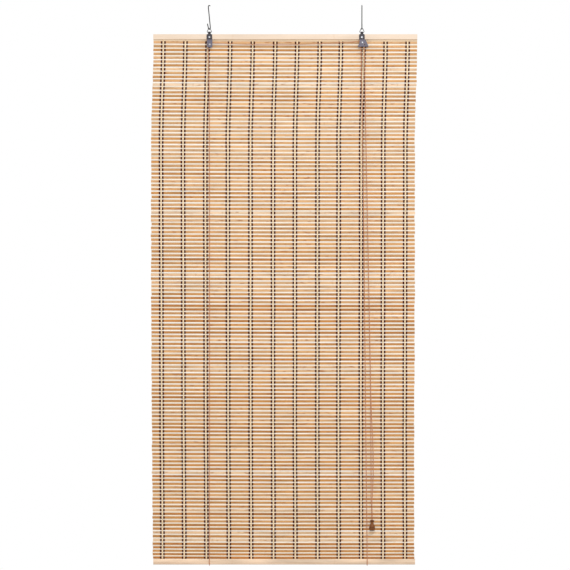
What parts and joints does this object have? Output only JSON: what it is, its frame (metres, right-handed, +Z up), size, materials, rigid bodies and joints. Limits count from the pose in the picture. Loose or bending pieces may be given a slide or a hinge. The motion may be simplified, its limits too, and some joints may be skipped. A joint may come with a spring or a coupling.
{
  "type": "bamboo roll up blind",
  "caption": "Roll-up window blind: a woven mat of brown and pale bamboo slats between two rails, raised by cords through a pulley and a cord lock.",
  "frame": {"origin": "middle of the head rail's back face, at half its height", "axes": "+X along the head rail, +Y into the wall behind the blind, +Z up"},
  "size_m": [0.8065, 0.0349, 1.6982],
  "materials": {
    "pale_bamboo": "planed pale bamboo, satin",
    "slat_bamboo": "split bamboo in a brown and a pale stain, satin",
    "dark_thread": "dark brown twisted cotton",
    "tan_thread": "tan twisted cotton",
    "nail_steel": "bright wire steel",
    "screw_steel": "zinc plated, bright",
    "strap_metal": "dark gunmetal, satin",
    "cover_metal": "blue grey gunmetal, satin",
    "wheel_plastic": "off-white nylon, matte",
    "rivet_steel": "plated steel, bright",
    "ring_steel": "plated wire, bright",
    "hook_wire": "dark bronzed wire, satin",
    "cord": "reddish brown braided cotton",
    "knob_wood": "brown stained wood, varnished"
  },
  "bodies": {
    "blind": {"head_front_batten": "pale_bamboo", "head_rear_batten": "pale_bamboo", "head_nails": "nail_steel", "slat_mat": "slat_bamboo", "dark_warp_threads": "dark_thread", "tan_warp_threads": "tan_thread", "strap_screws": "screw_steel", "left_strap": "strap_metal", "left_pulley_cover": "cover_metal", "left_axle_rivet": "rivet_steel", "lock_strap": "strap_metal", "lock_cover": "cover_metal", "lock_axle_rivet": "rivet_steel", "left_front_cord": "cord", "left_back_cord": "cord", "left_anchor_knot": "cord", "cross_cord": "cord", "right_front_cord": "cord", "right_back_cord": "cord", "right_anchor_knot": "cord", "front_pull_strand": "cord", "rear_pull_strand": "cord", "pull_knot": "cord", "pull_tail": "cord", "cord_knob": "knob_wood", "knob_end_knot": "cord"},
    "bottom_rail": {"bottom_front_batten": "pale_bamboo", "bottom_rear_batten": "pale_bamboo", "bottom_nails": "nail_steel", "left_bottom_loop": "cord", "right_bottom_loop": "cord"},
    "left_wheel": {"left_pulley_wheel": "wheel_plastic"},
    "lock_wheel": {"lock_wheel": "wheel_plastic"},
    "lock_roller": {"lock_roller": "rivet_steel"},
    "left_ring": {"left_ring": "ring_steel"},
    "left_hook": {"left_hook": "hook_wire"},
    "right_ring": {"right_ring": "ring_steel"},
    "right_hook": {"right_hook": "hook_wire"}
  },
  "joints": [
    {"name": "bottom_rail_lift", "type": "slide", "parent": "blind", "child": "bottom_rail", "axis": [0, 0, 1], "range_m": [0, 1.4], "deforming": ["slat_mat", "dark_warp_threads", "tan_warp_threads", "left_front_cord", "right_front_cord", "left_back_cord", "right_back_cord"]},
    {"name": "left_wheel_spin", "type": "hinge", "parent": "blind", "child": "left_wheel", "pos_m": [-0.2288, -0.0216, -0.0235], "axis": [0, 1, 0], "continuous": true},
    {"name": "lock_wheel_spin", "type": "hinge", "parent": "blind", "child": "lock_wheel", "pos_m": [0.2335, -0.0233, -0.0174], "axis": [0, 1, 0], "continuous": true},
    {"name": "lock_roller_slide", "type": "slide", "parent": "blind", "child": "lock_roller", "axis": [-0.766, 0, 0.6428], "range_m": [0, 0.0028]},
    {"name": "left_ring_swing", "type": "hinge", "parent": "blind", "child": "left_ring", "pos_m": [-0.23, -0.01985, 0.0134], "axis": [1, 0, 0], "range_deg": [-45, 80]},
    {"name": "left_hook_swing", "type": "hinge", "parent": "left_ring", "child": "left_hook", "pos_m": [-0.23, -0.01985, 0.0256], "axis": [0.8192, -0.5736, 0], "range_deg": [-40, 40]},
    {"name": "right_ring_swing", "type": "hinge", "parent": "blind", "child": "right_ring", "pos_m": [0.232, -0.01985, 0.0134], "axis": [1, 0, 0], "range_deg": [-45, 80]},
    {"name": "right_hook_swing", "type": "hinge", "parent": "right_ring", "child": "right_hook", "pos_m": [0.232, -0.01985, 0.0256], "axis": [1, 0, 0], "range_deg": [-40, 40]}
  ]
}
